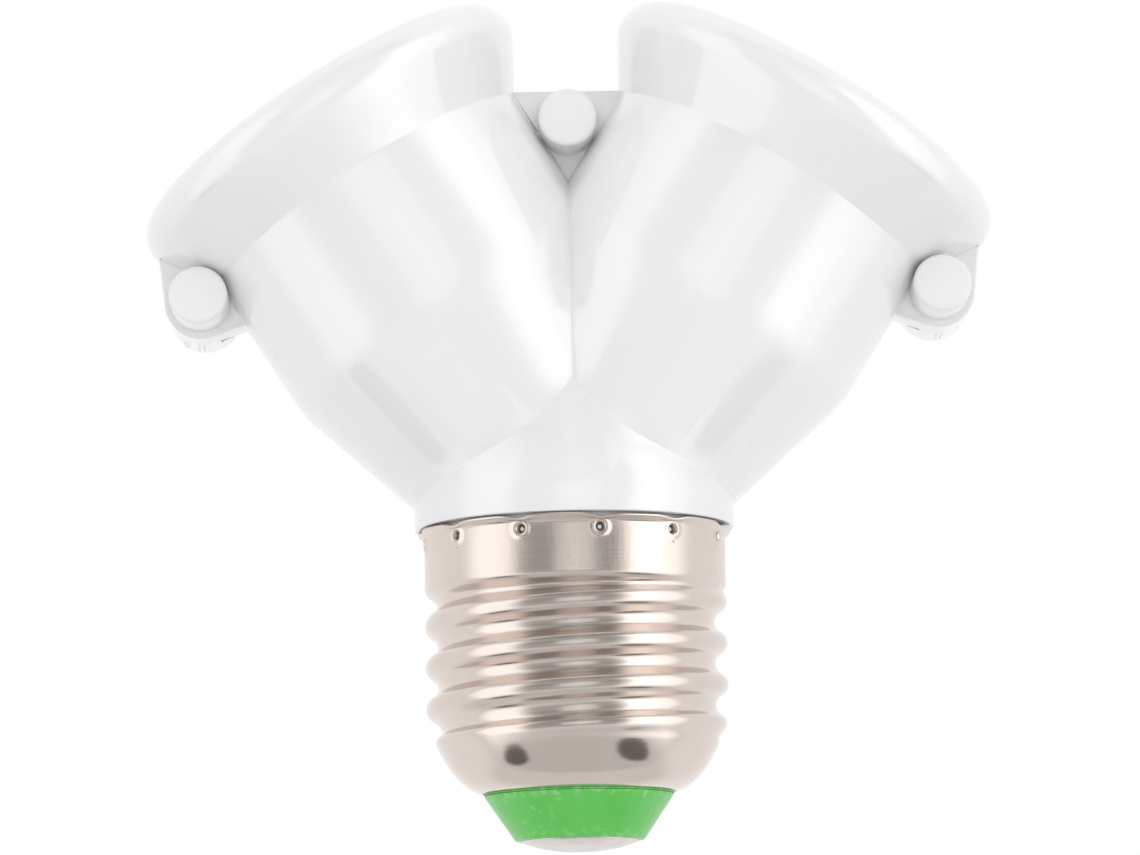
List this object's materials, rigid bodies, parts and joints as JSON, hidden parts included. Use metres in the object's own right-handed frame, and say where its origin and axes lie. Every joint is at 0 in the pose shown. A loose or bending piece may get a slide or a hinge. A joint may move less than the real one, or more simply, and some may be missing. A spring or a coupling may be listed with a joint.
{
  "type": "lamp socket splitter",
  "caption": "Y-shaped lamp socket splitter: a screw cap below feeds screw lamp sockets on a white moulded body in halves.",
  "frame": {"origin": "on the screw cap's axis, in the middle of its plain collar", "axes": "+Z from the cap towards the sockets, +X towards the right socket as seen from the front, -Y towards the front with the round bosses"},
  "size_m": [0.0746, 0.0378, 0.0746],
  "materials": {
    "white_housing": "glossy moulded",
    "screw_steel": "zinc plated",
    "cap_metal": "nickel plated, satin collar and polished thread",
    "green_insulator": "glossy moulded",
    "contact_metal": "tinned, satin",
    "solder": "dull",
    "sleeve_metal": "nickel plated, satin",
    "carrier_plastic": "matt moulded",
    "leaf_bronze": "bright rolled strip",
    "live_insulation": "smooth sleeving",
    "neutral_insulation": "smooth sleeving"
  },
  "bodies": {
    "holder": {"front_shell": "white_housing", "rear_shell": "white_housing", "housing_screws": "screw_steel", "screw_cap": "cap_metal", "cap_insulator": "green_insulator", "centre_contact": "contact_metal", "lead_ferrule": "contact_metal", "solder_joints": "solder", "left_socket_sleeve": "sleeve_metal", "left_contact_carrier": "carrier_plastic", "left_leaf_rivet": "sleeve_metal", "left_live_lead": "live_insulation", "left_neutral_lead": "neutral_insulation", "right_socket_sleeve": "sleeve_metal", "right_contact_carrier": "carrier_plastic", "right_leaf_rivet": "sleeve_metal", "right_live_lead": "live_insulation", "right_neutral_lead": "neutral_insulation"},
    "left_leaf": {"left_contact_leaf": "leaf_bronze"},
    "right_leaf": {"right_contact_leaf": "leaf_bronze"}
  },
  "joints": [
    {"name": "left_contact_press", "type": "hinge", "parent": "holder", "child": "left_leaf", "pos_m": [-0.00512, 0, 0.02124], "axis": [0, -1, 0], "range_deg": [0, 18], "stiffness_Nm_per_rad": 0.05, "deforming": ["left_contact_leaf"]},
    {"name": "right_contact_press", "type": "hinge", "parent": "holder", "child": "right_leaf", "pos_m": [0.00512, 0, 0.02124], "axis": [0, 1, 0], "range_deg": [0, 18], "stiffness_Nm_per_rad": 0.05, "deforming": ["right_contact_leaf"]}
  ]
}
